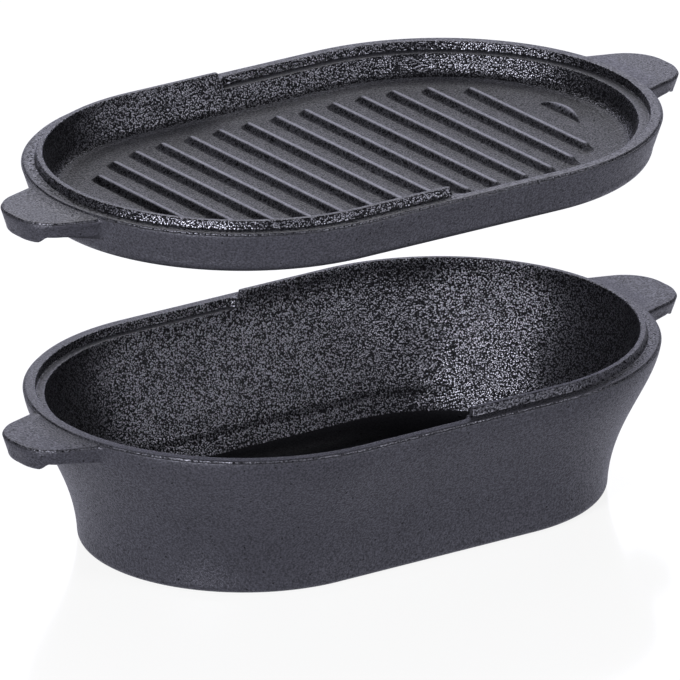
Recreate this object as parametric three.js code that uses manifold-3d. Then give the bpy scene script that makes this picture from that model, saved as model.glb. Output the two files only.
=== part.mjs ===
// Oblong cast iron casserole pot with a griddle lid, two plain castings in one material.
// Millimetres, +Z up, X along the length, origin under the middle of the pot's base.
// The lid is shown lifted off and turned over, ribs up, level above the pot.
// Half of each rim carries a raised inner lip and the other half a matching recess,
// so the lid, turned about X and lowered, drops into the pot's rim with its ribs inside.
import * as THREE from "three";
import { mergeVertices } from "three/addons/utils/BufferGeometryUtils.js";
import Module from "manifold-3d";

const wasm = await Module();
wasm.setup();

// Plan that both castings share: straight sides between two round ends.
const STRAIGHT_HALF = 58;
const RIM_RADIUS = 107;

// Rim: a flat outer band, and inside it the lip of one half or the recess of the other.
// The setbacks are from mid-length, and the recess runs past it, up to the lip.
const BAND_WIDTH = 6.2;
const LIP_THICKNESS = 3.9;
const LIP_HEIGHT = 4;
const LIP_CLEARANCE = 0.4;
const LIP_SETBACK = 6;
const RECESS_SETBACK = -4.5;
const RIM_CHAMFER = 1;

// Pot: flat base, rounded foot, wall that flares out to the rim, bowl-shaped inside.
const POT_HEIGHT = 78;
const POT_FLARE = 25.8;
const FOOT_ROUND = 4;
const POT_WALL = 6;
const POT_FLOOR = 5;
const POT_FILLET = 17;

// Lid: flat outer face, rounded edge, drafted wall, floor with ribs.
const LID_HEIGHT = 22;
const LID_DRAFT = 4.6;
const LID_EDGE_ROUND = 6.5;
const LID_FLOOR = 6.3;
const LID_INNER_DRAFT = 3;
const LID_FILLET = 7;

// Ribs across the lid's floor, and a crescent boss past the last rib at each end.
const RIB_COUNT = 14;
const RIB_PITCH = 16.8;
const RIB_HEIGHT = 3.5;
const RIB_BASE_WIDTH = 7.2;
const RIB_CREST_WIDTH = 2.4;
const RIB_END_SLOPE = 4;
const RIB_INSET = 23;
const CRESCENT_GAP = 14;
const CRESCENT_DEPTH = 5.5;
const CRESCENT_HALF_LENGTH = 16;

// Tab handles, one at each end of each casting, with a bead under the outer edge.
const TAB_REACH = 27;
const TAB_HALF_WIDTH = 25;
const TAB_CORNER = 22;
const TAB_TAPER = THREE.MathUtils.degToRad(18);
const TAB_NECK_FILLET = 5;
const TAB_THICKNESS = 8.6;
const TAB_DROP = 1.5;
const TAB_EDGE_ROUND = 1.5;
const BEAD_WIDTH = 7;
const BEAD_DEPTH = 3;

// Height of the lifted lid's flat face over the pot's raised lip.
const LID_RAISE = 89.5;

// Pulls that bend the pot's wall, as shares of its height (UP) and of its flare (OUT).
const LOW_PULL_UP = 0.48;
const LOW_PULL_OUT = 0.08;
const HIGH_PULL_UP = 0.75;
const HIGH_PULL_IN = 0.1;
const INNER_PULL_UP = 0.67;

// How many steps each kind of round stretch is divided into.
const END_STEPS = 24;
const WALL_STEPS = 8;
const ROUND_STEPS = 4;
const TAB_STEPS = 8;

// Sizes that follow from those above.
const LIP_OUTER = RIM_RADIUS - BAND_WIDTH - LIP_CLEARANCE;
const RIM_INNER = LIP_OUTER - LIP_THICKNESS;
const RECESS_OUTER = RIM_RADIUS - BAND_WIDTH;
const RECESS_DEPTH = LIP_HEIGHT + LIP_CLEARANCE;
const POT_FOOT = RIM_RADIUS - POT_FLARE;
const LID_FOOT = RIM_RADIUS - LID_DRAFT;
const LID_INNER_FOOT = RIM_INNER - LID_INNER_DRAFT;
const LID_BASE_Z = POT_HEIGHT + LIP_HEIGHT + LID_RAISE;
const QUARTER = Math.PI / 2;
// Depth that joined pieces share, and how far a cut runs past the face that it opens.
const OVERLAP = 1;
// Points of a mesh or a profile that are closer than this are one point.
const SAME_POINT = 1e-4;

const OUTSIDE_IRON = new THREE.MeshStandardMaterial({ color: 0x4a4a50, roughness: 0.62, metalness: 0.75 });
const GRIDDLE_IRON = new THREE.MeshStandardMaterial({ color: 0x55555b, roughness: 0.58, metalness: 0.75 });

// A three.js geometry as a solid that can be joined and cut.
function solid(geometry) {
  const bare = geometry.clone();
  bare.deleteAttribute("normal");
  bare.deleteAttribute("uv");
  const merged = mergeVertices(bare, SAME_POINT);
  return new wasm.Manifold(
    new wasm.Mesh({
      numProp: 3,
      vertProperties: new Float32Array(merged.attributes.position.array),
      triVerts: new Uint32Array(merged.index.array),
    }),
  );
}

// A geometry made for the +X end, as a solid at that end (+1) or at the other (-1).
function atEnd(geometry, end) {
  return solid(geometry.clone().rotateZ(end > 0 ? 0 : Math.PI));
}

// A joined solid as a mesh under its piece's name.
function meshOf(name, body, material) {
  const data = body.getMesh();
  const geometry = new THREE.BufferGeometry();
  geometry.setAttribute("position", new THREE.BufferAttribute(data.vertProperties, 3));
  geometry.setIndex(new THREE.BufferAttribute(data.triVerts, 1));
  geometry.computeVertexNormals();
  const mesh = new THREE.Mesh(geometry, material);
  mesh.name = name;
  return mesh;
}

// Points of the plan outline at one radius, counter-clockwise from above.
function stadium(radius) {
  const points = [];
  for (const side of [1, -1]) {
    for (let i = 0; i <= END_STEPS; i++) {
      const angle = -QUARTER + (Math.PI * i) / END_STEPS;
      const x = STRAIGHT_HALF + radius * Math.cos(angle);
      points.push(new THREE.Vector2(side * x, side * radius * Math.sin(angle)));
    }
  }
  return points;
}

// A closed body whose section is a profile of (radius, height) points carried round the plan outline.
// The profile starts at the edge of the underside and ends at the edge of the inner floor.
function shell(profile) {
  const rings = profile.map((p) => stadium(p.x));
  const count = rings[0].length;
  const positions = rings.flatMap((ring, k) => ring.flatMap((p) => [p.x, p.y, profile[k].y]));
  const index = [];
  for (let k = 0; k + 1 < rings.length; k++) {
    for (let i = 0; i < count; i++) {
      const a = k * count + i;
      const b = k * count + ((i + 1) % count);
      index.push(a, b, b + count, a, b + count, a + count);
    }
  }
  const last = (rings.length - 1) * count;
  for (let i = 1; i + 1 < count; i++) {
    index.push(0, i + 1, i);
    index.push(last, last + i, last + i + 1);
  }
  const geometry = new THREE.BufferGeometry();
  geometry.setAttribute("position", new THREE.Float32BufferAttribute(positions, 3));
  geometry.setIndex(index);
  return solid(geometry);
}

// Points of a quarter round about a centre, from one angle to the other.
function round(centreX, centreY, radius, from, to) {
  const arc = new THREE.EllipseCurve(centreX, centreY, radius, radius, from, to, to < from);
  return arc.getPoints(ROUND_STEPS);
}

// Points of a smooth wall through two ends with a pull at each.
function wall(start, startPull, endPull, end) {
  const curve = new THREE.CubicBezierCurve(start, startPull, endPull, end);
  return curve.getPoints(WALL_STEPS);
}

// A profile without points that repeat.
function tidy(points) {
  return points.filter((p, i) => i === 0 || p.distanceTo(points[i - 1]) > SAME_POINT);
}

// The flat band on top of a rim, from its outer chamfer to its inner edge.
function rimTop(height) {
  return [
    new THREE.Vector2(RIM_RADIUS, height - RIM_CHAMFER),
    new THREE.Vector2(RIM_RADIUS - RIM_CHAMFER, height),
    new THREE.Vector2(RIM_INNER, height),
  ];
}

function potProfile() {
  const lowPull = POT_HEIGHT * LOW_PULL_UP;
  const outer = wall(
    new THREE.Vector2(POT_FOOT, FOOT_ROUND),
    new THREE.Vector2(POT_FOOT + POT_FLARE * LOW_PULL_OUT, lowPull),
    new THREE.Vector2(RIM_RADIUS - POT_FLARE * HIGH_PULL_IN, POT_HEIGHT * HIGH_PULL_UP),
    new THREE.Vector2(RIM_RADIUS, POT_HEIGHT - RIM_CHAMFER),
  );
  const innerFoot = POT_FOOT - POT_WALL;
  const inner = wall(
    new THREE.Vector2(RIM_INNER, POT_HEIGHT),
    new THREE.Vector2(RIM_INNER, POT_HEIGHT * INNER_PULL_UP),
    new THREE.Vector2(innerFoot + POT_FLARE * LOW_PULL_OUT, lowPull),
    new THREE.Vector2(innerFoot, POT_FLOOR + POT_FILLET),
  );
  return tidy([
    ...round(POT_FOOT - FOOT_ROUND, FOOT_ROUND, FOOT_ROUND, -QUARTER, 0),
    ...outer,
    ...rimTop(POT_HEIGHT),
    ...inner,
    ...round(innerFoot - POT_FILLET, POT_FLOOR + POT_FILLET, POT_FILLET, 0, -QUARTER),
  ]);
}

function lidProfile() {
  return tidy([
    ...round(LID_FOOT - LID_EDGE_ROUND, LID_EDGE_ROUND, LID_EDGE_ROUND, -QUARTER, 0),
    ...rimTop(LID_HEIGHT),
    ...round(LID_INNER_FOOT - LID_FILLET, LID_FLOOR + LID_FILLET, LID_FILLET, 0, -QUARTER),
  ]);
}

// A strip round one half of the rim, with round ends, between two radii and two heights.
// half is +1 for the +X half and -1 for the other. An arc takes twice its curveSegments.
function halfStrip(half, outer, inner, setback, low, high) {
  const cap = (outer - inner) / 2;
  const middle = (outer + inner) / 2;
  const start = setback + cap;
  const shape = new THREE.Shape();
  shape.moveTo(start, -outer);
  shape.lineTo(STRAIGHT_HALF, -outer);
  shape.absarc(STRAIGHT_HALF, 0, outer, -QUARTER, QUARTER, false);
  shape.lineTo(start, outer);
  shape.absarc(start, middle, cap, QUARTER, 3 * QUARTER, false);
  shape.lineTo(STRAIGHT_HALF, inner);
  shape.absarc(STRAIGHT_HALF, 0, inner, QUARTER, -QUARTER, true);
  shape.lineTo(start, -inner);
  shape.absarc(start, -middle, cap, QUARTER, 3 * QUARTER, false);
  const strip = new THREE.ExtrudeGeometry(shape, {
    depth: high - low,
    bevelEnabled: false,
    curveSegments: END_STEPS / 2,
  });
  strip.translate(0, 0, low);
  return atEnd(strip, half);
}

// Raised lip on one half of a rim and the recess for the other casting's lip on the other half.
function withLockingRim(body, height, lipHalf) {
  const lip = halfStrip(lipHalf, LIP_OUTER, RIM_INNER, LIP_SETBACK, height - OVERLAP, height + LIP_HEIGHT);
  const recess = halfStrip(
    -lipHalf,
    RECESS_OUTER,
    RIM_INNER - LIP_THICKNESS,
    RECESS_SETBACK,
    height - RECESS_DEPTH,
    height + OVERLAP,
  );
  return body.add(lip).subtract(recess);
}

// Centre of the fillet between a tab's side and the rim, from the middle of the casting's round end.
// It lies a fillet's radius outside the side's line and outside the rim.
function neckCentre() {
  const out = TAB_CORNER + TAB_NECK_FILLET;
  const start = new THREE.Vector2(RIM_RADIUS + TAB_REACH - TAB_CORNER, TAB_HALF_WIDTH - TAB_CORNER);
  start.add(new THREE.Vector2(Math.sin(TAB_TAPER), Math.cos(TAB_TAPER)).multiplyScalar(out));
  const inwards = new THREE.Vector2(-Math.cos(TAB_TAPER), Math.sin(TAB_TAPER));
  const along = start.dot(inwards);
  const reach = (RIM_RADIUS + TAB_NECK_FILLET) ** 2 - start.lengthSq();
  return start.addScaledVector(inwards, -along - Math.sqrt(along ** 2 + reach));
}

// Plan of the tab at the +X end: a rounded ear whose sides taper, with small fillets into the rim.
function tabShape() {
  const neck = neckCentre();
  const neckAngle = neck.angle();
  const neckX = STRAIGHT_HALF + neck.x;
  const cornerX = STRAIGHT_HALF + RIM_RADIUS + TAB_REACH - TAB_CORNER;
  const cornerY = TAB_HALF_WIDTH - TAB_CORNER;
  const side = QUARTER - TAB_TAPER;
  const shape = new THREE.Shape();
  shape.absarc(STRAIGHT_HALF, 0, RECESS_OUTER, neckAngle, -neckAngle, true);
  shape.absarc(neckX, -neck.y, TAB_NECK_FILLET, Math.PI - neckAngle, Math.PI - side, true);
  shape.absarc(cornerX, -cornerY, TAB_CORNER, -side, 0, false);
  shape.absarc(cornerX, cornerY, TAB_CORNER, 0, side, false);
  shape.absarc(neckX, neck.y, TAB_NECK_FILLET, side - Math.PI, neckAngle - Math.PI, true);
  return shape;
}

// A plan shape between two heights, with its edges rounded inside that plan.
function roundedPlate(shape, low, high) {
  const plate = new THREE.ExtrudeGeometry(shape, {
    depth: high - low - 2 * TAB_EDGE_ROUND,
    bevelThickness: TAB_EDGE_ROUND,
    bevelSize: TAB_EDGE_ROUND,
    bevelOffset: -TAB_EDGE_ROUND,
    bevelSegments: 1,
    curveSegments: TAB_STEPS / 2,
  });
  plate.translate(0, 0, low + TAB_EDGE_ROUND);
  return plate;
}

// The two tab handles of a casting whose rim is at the given height.
// The bead is the outer edge of a thicker tab.
function withTabs(body, rimHeight) {
  const top = rimHeight - TAB_DROP;
  const low = top - TAB_THICKNESS;
  const tab = roundedPlate(tabShape(), low, top);
  const thickTab = roundedPlate(tabShape(), low - BEAD_DEPTH, top);
  const edge = new THREE.BoxGeometry(2 * BEAD_WIDTH, 4 * TAB_HALF_WIDTH, 4 * (TAB_THICKNESS + BEAD_DEPTH));
  edge.translate(STRAIGHT_HALF + RIM_RADIUS + TAB_REACH, 0, top);
  let joined = body;
  for (const end of [1, -1]) {
    const bead = atEnd(thickTab, end).intersect(atEnd(edge, end));
    joined = joined.add(atEnd(tab, end)).add(bead);
  }
  return joined;
}

// Half the length of a rib at a distance from mid-length: it stops short of the wall all round.
function ribHalfLength(x) {
  const reach = RIM_INNER - RIB_INSET;
  const past = Math.max(0, Math.abs(x) - STRAIGHT_HALF);
  return Math.sqrt(Math.max(0, reach ** 2 - past ** 2));
}

// One straight rib across the floor, tapered to its crest on all four sides.
function rib(x) {
  const half = ribHalfLength(x);
  const height = RIB_HEIGHT + OVERLAP;
  const box = new THREE.BoxGeometry(RIB_BASE_WIDTH, 2 * half, height);
  const at = box.attributes.position;
  for (let i = 0; i < at.count; i++) {
    if (at.getZ(i) > 0) {
      at.setX(i, (at.getX(i) * RIB_CREST_WIDTH) / RIB_BASE_WIDTH);
      at.setY(i, at.getY(i) - Math.sign(at.getY(i)) * RIB_END_SLOPE);
    }
  }
  box.translate(x, 0, LID_FLOOR - OVERLAP + height / 2);
  return solid(box);
}

// The crescent boss at the +X end: a flat chord towards the ribs and an arc towards the wall.
function crescent() {
  const chordX = ((RIB_COUNT - 1) / 2) * RIB_PITCH + RIB_BASE_WIDTH / 2 + CRESCENT_GAP;
  const radius = (CRESCENT_HALF_LENGTH ** 2 + CRESCENT_DEPTH ** 2) / (2 * CRESCENT_DEPTH);
  const angle = Math.asin(CRESCENT_HALF_LENGTH / radius);
  const shape = new THREE.Shape();
  shape.absarc(chordX + CRESCENT_DEPTH - radius, 0, radius, -angle, angle, false);
  const boss = new THREE.ExtrudeGeometry(shape, {
    depth: RIB_HEIGHT + OVERLAP,
    bevelEnabled: false,
    curveSegments: TAB_STEPS / 2,
  });
  boss.translate(0, 0, LID_FLOOR - OVERLAP);
  return boss;
}

function pot() {
  const body = withTabs(shell(potProfile()), POT_HEIGHT);
  return meshOf("casserole_pot", withLockingRim(body, POT_HEIGHT, 1), OUTSIDE_IRON);
}

function lid() {
  let body = withTabs(shell(lidProfile()), LID_HEIGHT);
  body = withLockingRim(body, LID_HEIGHT, -1);
  for (let i = 0; i < RIB_COUNT; i++) {
    body = body.add(rib((i - (RIB_COUNT - 1) / 2) * RIB_PITCH));
  }
  const boss = crescent();
  body = body.add(atEnd(boss, 1)).add(atEnd(boss, -1));
  const mesh = meshOf("griddle_lid", body, GRIDDLE_IRON);
  mesh.position.z = LID_BASE_Z;
  return mesh;
}

const casserole = new THREE.Group();
casserole.name = "cast_iron_casserole";
casserole.add(pot(), lid());

export default casserole;
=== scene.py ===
"""Looks of an oblong cast iron casserole pot and its griddle lid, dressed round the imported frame.

Lengths are in millimetres until a mesh is written. Meshes are in metres, in the frame of the part:
+Z up, X along the length, the origin under the middle of the pot's base.
"""

import logging
import math
from collections.abc import Callable, Sequence
from dataclasses import dataclass, field, replace
from enum import Enum, IntEnum
from functools import partial
from typing import Any

import bmesh
import bpy
import numpy as np
from mathutils import Matrix, Vector


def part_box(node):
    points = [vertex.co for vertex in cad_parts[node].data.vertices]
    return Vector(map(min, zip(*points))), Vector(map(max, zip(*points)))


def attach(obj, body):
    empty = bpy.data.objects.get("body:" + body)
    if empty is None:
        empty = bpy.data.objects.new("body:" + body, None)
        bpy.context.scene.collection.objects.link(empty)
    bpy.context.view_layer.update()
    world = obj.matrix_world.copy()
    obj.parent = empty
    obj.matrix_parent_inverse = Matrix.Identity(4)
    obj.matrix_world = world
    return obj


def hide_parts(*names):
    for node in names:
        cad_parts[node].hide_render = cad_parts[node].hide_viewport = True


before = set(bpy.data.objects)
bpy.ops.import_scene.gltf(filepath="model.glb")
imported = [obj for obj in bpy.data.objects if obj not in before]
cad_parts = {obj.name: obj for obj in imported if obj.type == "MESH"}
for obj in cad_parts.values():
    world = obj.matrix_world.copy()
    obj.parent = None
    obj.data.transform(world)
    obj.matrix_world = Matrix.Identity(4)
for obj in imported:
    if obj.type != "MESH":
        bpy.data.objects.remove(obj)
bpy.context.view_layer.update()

LOG = logging.getLogger("casserole")
MM = 0.001
# Name of the mesh attribute that marks where crests take a painted highlight.
PAINTED_HIGHLIGHT_ATTRIBUTE = "wear"

Point = tuple[float, float]
Span = tuple[Any, Any]
Height = Callable[[float], float]
Level = Callable[[float, float], float]
Tree = bpy.types.NodeTree
Socket = bpy.types.NodeSocket


class Skin(IntEnum):
    """Finishes of a casting, in the order of its material slots."""

    SAND = 0
    PEBBLE = 1
    GRIDDLE = 2
    EDGE = 3
    BLACK = 4


class Grain(Enum):
    """Relief that a mould leaves on the iron."""

    SAND = "sand"
    PEBBLES = "pebbles"


class LipHalf(Enum):
    """Half of the length on which a casting's rim carries its raised lip."""

    POSITIVE_X = 1
    NEGATIVE_X = -1


def linear(hex_colour: str) -> tuple[float, float, float, float]:
    """Turn an sRGB hex colour into the linear RGBA that shaders take.

    Args:
        hex_colour: Six hex digits after a hash sign.

    Returns:
        Red, green and blue as linear light, and an alpha of one.
    """
    channels = [int(hex_colour[i : i + 2], 16) / 255 for i in (1, 3, 5)]
    light = [c / 12.92 if c <= 0.04045 else ((c + 0.055) / 1.055) ** 2.4 for c in channels]
    return (light[0], light[1], light[2], 1.0)


def add_node(tree: Tree, kind: str, inputs: dict | None = None, **settings: Any) -> bpy.types.Node:
    """Add a node with its settings, and set or link its inputs.

    Args:
        tree: Node tree that takes the node.
        kind: Node type, such as "ShaderNodeBump".
        inputs: Socket name or number to a value, or to the output socket that feeds it.
        **settings: Properties of the node, set before its inputs.

    Returns:
        The new node.
    """
    node = tree.nodes.new(kind)
    for name, value in settings.items():
        setattr(node, name, value)
    for key, value in (inputs or {}).items():
        if isinstance(value, bpy.types.NodeSocket):
            tree.links.new(value, node.inputs[key])
        else:
            node.inputs[key].default_value = value
    return node


def fresh_tree(owner: bpy.types.ID) -> Tree:
    """Give a material or a world an empty node tree.

    Args:
        owner: The material or the world.

    Returns:
        Its tree.
    """
    owner.use_nodes = True
    owner.node_tree.nodes.clear()
    return owner.node_tree


def maths(tree: Tree, operation: str, first: Any, second: Any = 0.0, third: Any = 0.0) -> Socket:
    """Add one operation on up to three numbers or sockets, and return its result."""
    return add_node(tree, "ShaderNodeMath", {0: first, 1: second, 2: third}, operation=operation).outputs[0]


def ramp(tree: Tree, value: Socket, source: Span, target: Span = (0.0, 1.0), kind: str = "LINEAR") -> Socket:
    """Map one span of numbers onto another, and hold the ends.

    Args:
        tree: Node tree that takes the node.
        value: Number to map.
        source: Numbers, or sockets, that become the ends of the target.
        target: What they become.
        kind: Interpolation between the ends.

    Returns:
        The mapped number.
    """
    inputs = {
        "Value": value,
        "From Min": source[0],
        "From Max": source[1],
        "To Min": target[0],
        "To Max": target[1],
    }
    return add_node(tree, "ShaderNodeMapRange", inputs, interpolation_type=kind).outputs[0]


def mix_colour(tree: Tree, share: Socket, first: Any, second: Any) -> Socket:
    """Blend two colours, or sockets, by the share of the second, and return the result."""
    inputs = {"Factor": share, 6: first, 7: second}
    return add_node(tree, "ShaderNodeMix", inputs, data_type="RGBA").outputs[2]


def per_metre(size_mm: float) -> float:
    """Return the texture scale at which a pattern repeats once in a size in millimetres."""
    return 1.0 / (size_mm * MM)


def noise(tree: Tree, place: Socket, size_mm: float, detail: float = 2.0, roughness: float = 0.5) -> Socket:
    """Add a noise of a real size, and return its height from 0 to 1."""
    inputs = {"Vector": place, "Scale": per_metre(size_mm), "Detail": detail, "Roughness": roughness}
    return add_node(tree, "ShaderNodeTexNoise", inputs).outputs[0]


def cells(tree: Tree, place: Socket, size_mm: float) -> bpy.types.NodeOutputs:
    """Fill space with cells of a real size, and return the distance from their middles and their colours."""
    return add_node(tree, "ShaderNodeTexVoronoi", {"Vector": place, "Scale": per_metre(size_mm)}).outputs


def smooth_step(low: float, high: float, value: float) -> float:
    """Return 0 below low, 1 above high, and a smooth rise between."""
    t = min(1.0, max(0.0, (value - low) / (high - low)))
    return t * t * (3 - 2 * t)


def arc(centre: Point, radius: float, start_deg: float, end_deg: float, steps: int) -> list[Point]:
    """Lay points along a circular arc, both ends included.

    Args:
        centre: Centre of the circle.
        radius: Its radius.
        start_deg: Angle of the first point.
        end_deg: Angle of the last point.
        steps: Number of equal steps between them.

    Returns:
        The points in order.
    """
    angles = np.radians(np.linspace(start_deg, end_deg, steps + 1))
    return [(centre[0] + radius * math.cos(a), centre[1] + radius * math.sin(a)) for a in angles]


def bezier(p0: Point, p1: Point, p2: Point, p3: Point, steps: int) -> list[Point]:
    """Lay points along a cubic curve, both ends included.

    Args:
        p0: First end.
        p1: Pull at the first end.
        p2: Pull at the second end.
        p3: Second end.
        steps: Number of steps between the ends.

    Returns:
        The points in order.
    """
    t = np.linspace(0, 1, steps + 1)[:, None]
    corner = np.array([p0, p1, p2, p3], float)
    points = (1 - t) ** 3 * corner[0] + 3 * (1 - t) ** 2 * t * corner[1]
    points = points + 3 * (1 - t) * t**2 * corner[2] + t**3 * corner[3]
    return [(float(r), float(z)) for r, z in points]


def between(start: Point, end: Point, count: int) -> list[Point]:
    """Return a number of points spread evenly between two others, which are left out."""
    shares = [(i + 1) / (count + 1) for i in range(count)]
    return [(start[0] + (end[0] - start[0]) * s, start[1] + (end[1] - start[1]) * s) for s in shares]


def blend(first: Sequence[Point], second: Sequence[Point], share: float) -> list[Point]:
    """Return the points that lie a share of the way from one list to another."""
    return [(a[0] + (b[0] - a[0]) * share, a[1] + (b[1] - a[1]) * share) for a, b in zip(first, second)]


def radius_at(profile: Sequence[Point], height: float) -> float:
    """Return the radius of a profile at a height."""
    levels = sorted((z, r) for r, z in profile)
    return float(np.interp(height, [z for z, _ in levels], [r for _, r in levels]))


# Heights of the grain between which its colour and roughness change, and its oil turns from dull to bright.
GRAIN_SPAN = (0.3, 0.7)
CREST_SPAN = (0.38, 0.64)

# Heights of the lowest and the highest pebble.
PEBBLE_HEIGHTS = (0.74, 1.1)

# Share of the body's colour that is left in the darkest patches.
PATCH_LOW = 0.65

# Share of a pit's radius that its flat bottom takes up.
PIT_BOTTOM = 0.3

# Border between level and steep faces, how far a noise moves it, and the width of that noise in grains.
LEVEL_SPAN = (1.0, 1.45)
RAGGED_SHIFT = 1.2
RAGGED_GRAINS = 2


@dataclass(frozen=True)
class IronFinish:
    """One finish of cast iron, as a procedural material.

    Attributes:
        name: Name of the material.
        body: Colour of the raised grain.
        hollow: Colour between the grains and in pits.
        roughness: Mean roughness.
        roughness_swing: How far the roughness strays from its mean.
        grain: Kind of relief.
        grain_mm: Width of the sand grain or pebble.
        grain_depth_mm: Depth of the relief that it leaves.
        grain_tint: Share of the colour that follows the grain.
        sheen: Specular level of the oiled skin.
        cavity: Share of that level that is lost in the hollows between grains.
        mottle_mm: Width of the slow patches of colour.
        pit_spacing_mm: Mean distance between casting pits.
        pit_share: Radius of a pit as a share of that distance.
        pit_depth_mm: Depth of a pit.
        steep: Finish that takes over on steep faces, if any.
        painted_highlight_colour: Lighter colour painted on crests as a highlight, where the mesh marks them.
    """

    name: str
    body: str
    hollow: str
    roughness: float
    roughness_swing: float
    grain_mm: float
    grain_depth_mm: float
    grain_tint: float
    sheen: float = 0.5
    cavity: float = 0.5
    mottle_mm: float = 38.0
    pit_spacing_mm: float = 9.0
    pit_share: float = 0.1
    pit_depth_mm: float = 0.25
    grain: Grain = Grain.SAND
    steep: "IronFinish | None" = None
    painted_highlight_colour: str | None = None

    def build(self) -> bpy.types.Material:
        """Make the material.

        Returns:
            A material whose patterns are set in object space, at their real size.
        """
        material = bpy.data.materials.new(self.name)
        tree = fresh_tree(material)
        place = add_node(tree, "ShaderNodeTexCoord").outputs
        surface = self._skin(tree, place["Object"])
        # Steep faces take the steep finish; on the griddle those are the rib flanks, kept dark as painted
        # shade.
        if self.steep:
            steep = self.steep._skin(tree, place["Object"])
            flat = self._flatness(tree, place)
            surface = add_node(tree, "ShaderNodeMixShader", {0: flat, 1: steep, 2: surface}).outputs[0]
        add_node(tree, "ShaderNodeOutputMaterial", {"Surface": surface})
        return material

    def _skin(self, tree: Tree, place: Socket) -> Socket:
        """Lay the grain, the patches and the pits into one shader.

        Args:
            tree: The material's tree.
            place: Object coordinates.

        Returns:
            The shader.
        """
        grain = self._grain(tree, place)
        pits = self._pits(tree, place)
        mottle = noise(tree, place, self.mottle_mm, detail=3.0, roughness=0.6)
        tint = ramp(tree, grain, GRAIN_SPAN, (1 - self.grain_tint, 1.0))
        patch = ramp(tree, mottle, GRAIN_SPAN, (PATCH_LOW, 1.0))
        clean = maths(tree, "MULTIPLY", maths(tree, "MULTIPLY", tint, patch), pits)
        colour = mix_colour(tree, clean, linear(self.hollow), linear(self.body))
        # Crests that the mesh marks take a lighter colour, a painted highlight.
        if self.painted_highlight_colour:
            wear = add_node(tree, "ShaderNodeAttribute", attribute_name=PAINTED_HIGHLIGHT_ATTRIBUTE).outputs["Fac"]
            colour = mix_colour(tree, wear, colour, linear(self.painted_highlight_colour))
        roughness = (self.roughness + self.roughness_swing, self.roughness - self.roughness_swing)
        shine = ramp(tree, grain, CREST_SPAN, (self.sheen * (1 - self.cavity), self.sheen))
        pitted = add_node(tree, "ShaderNodeBump", {"Height": pits, "Distance": self.pit_depth_mm * MM})
        relief = {"Height": grain, "Distance": self.grain_depth_mm * MM, "Normal": pitted.outputs[0]}
        iron = add_node(
            tree,
            "ShaderNodeBsdfPrincipled",
            {
                "Base Color": colour,
                "Roughness": ramp(tree, grain, GRAIN_SPAN, roughness),
                "Normal": add_node(tree, "ShaderNodeBump", relief).outputs[0],
                "IOR": OIL_IOR,
                "Specular IOR Level": maths(tree, "MULTIPLY", shine, pits),
                # The reflections take a painted cool tint.
                "Specular Tint": linear(PAINTED_REFLECTION_TINT),
            },
        )
        return iron.outputs[0]

    def _grain(self, tree: Tree, place: Socket) -> Socket:
        """Lay the grain that the mould leaves.

        Args:
            tree: The material's tree.
            place: Object coordinates.

        Returns:
            Its height, from 0 to 1.
        """
        if self.grain is Grain.SAND:
            return noise(tree, place, self.grain_mm, roughness=0.55)
        pebbles = cells(tree, place, self.grain_mm)
        chance = add_node(tree, "ShaderNodeSeparateColor", {0: pebbles["Color"]}).outputs[0]
        height = ramp(tree, chance, (0.0, 1.0), PEBBLE_HEIGHTS)
        return maths(tree, "SUBTRACT", height, pebbles["Distance"])

    def _pits(self, tree: Tree, place: Socket) -> Socket:
        """Scatter small casting pits, and return 0 at the bottom of a pit and 1 away from pits."""
        distance = cells(tree, place, self.pit_spacing_mm)["Distance"]
        return ramp(tree, distance, (PIT_BOTTOM * self.pit_share, self.pit_share))

    def _flatness(self, tree: Tree, place: bpy.types.NodeOutputs) -> Socket:
        """Tell level faces from steep ones, with a ragged border between them.

        Args:
            tree: The material's tree.
            place: Coordinates, by their names.

        Returns:
            1 on level faces and 0 on steep ones.
        """
        upright = add_node(tree, "ShaderNodeSeparateXYZ", {0: place["Normal"]}).outputs[2]
        ragged = noise(tree, place["Object"], RAGGED_GRAINS * self.grain_mm)
        return ramp(tree, maths(tree, "MULTIPLY_ADD", ragged, RAGGED_SHIFT, upright), LEVEL_SPAN)


# Baked cooking oil over iron oxide: the gloss of an oil film, and a cool tint painted on the iron's
# reflections for the cool cast of the light.
OIL_IOR = 1.5
PAINTED_REFLECTION_TINT = "#ececff"

# Sand-cast grey iron, seasoned with baked oil: a dark matt skin that turns grey where it mirrors the room.
# The mould's sand is about 0.3 mm, drawn at 0.95 mm so that it shows.
SAND_SKIN = IronFinish(
    name="sand_cast_iron_seasoned",
    body="#212126",
    hollow="#0d0d0f",
    roughness=0.45,
    roughness_swing=0.1,
    grain_mm=0.95,
    grain_depth_mm=0.27,
    grain_tint=0.65,
    cavity=0.65,
    pit_spacing_mm=5.0,
    pit_share=0.14,
)

# The same iron where the mould was coarse: black, pebbled and oily, so each pebble catches the lamps.
PEBBLE_SKIN = IronFinish(
    name="pebbled_cast_iron_oiled",
    body="#0a0a0c",
    hollow="#020203",
    roughness=0.38,
    roughness_swing=0.08,
    grain=Grain.PEBBLES,
    grain_mm=0.85,
    grain_depth_mm=0.24,
    grain_tint=0.6,
    sheen=1.5,
    cavity=0.96,
    pit_share=0.05,
)

# Flanks of the ribs: the same black pebbles as the walls, with their sheen cut so that they stay dark, a
# painted shade.
SHADED_FLANK_SKIN = replace(PEBBLE_SKIN, name="pebbled_cast_iron_flank_painted_shade", sheen=0.4)

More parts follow.
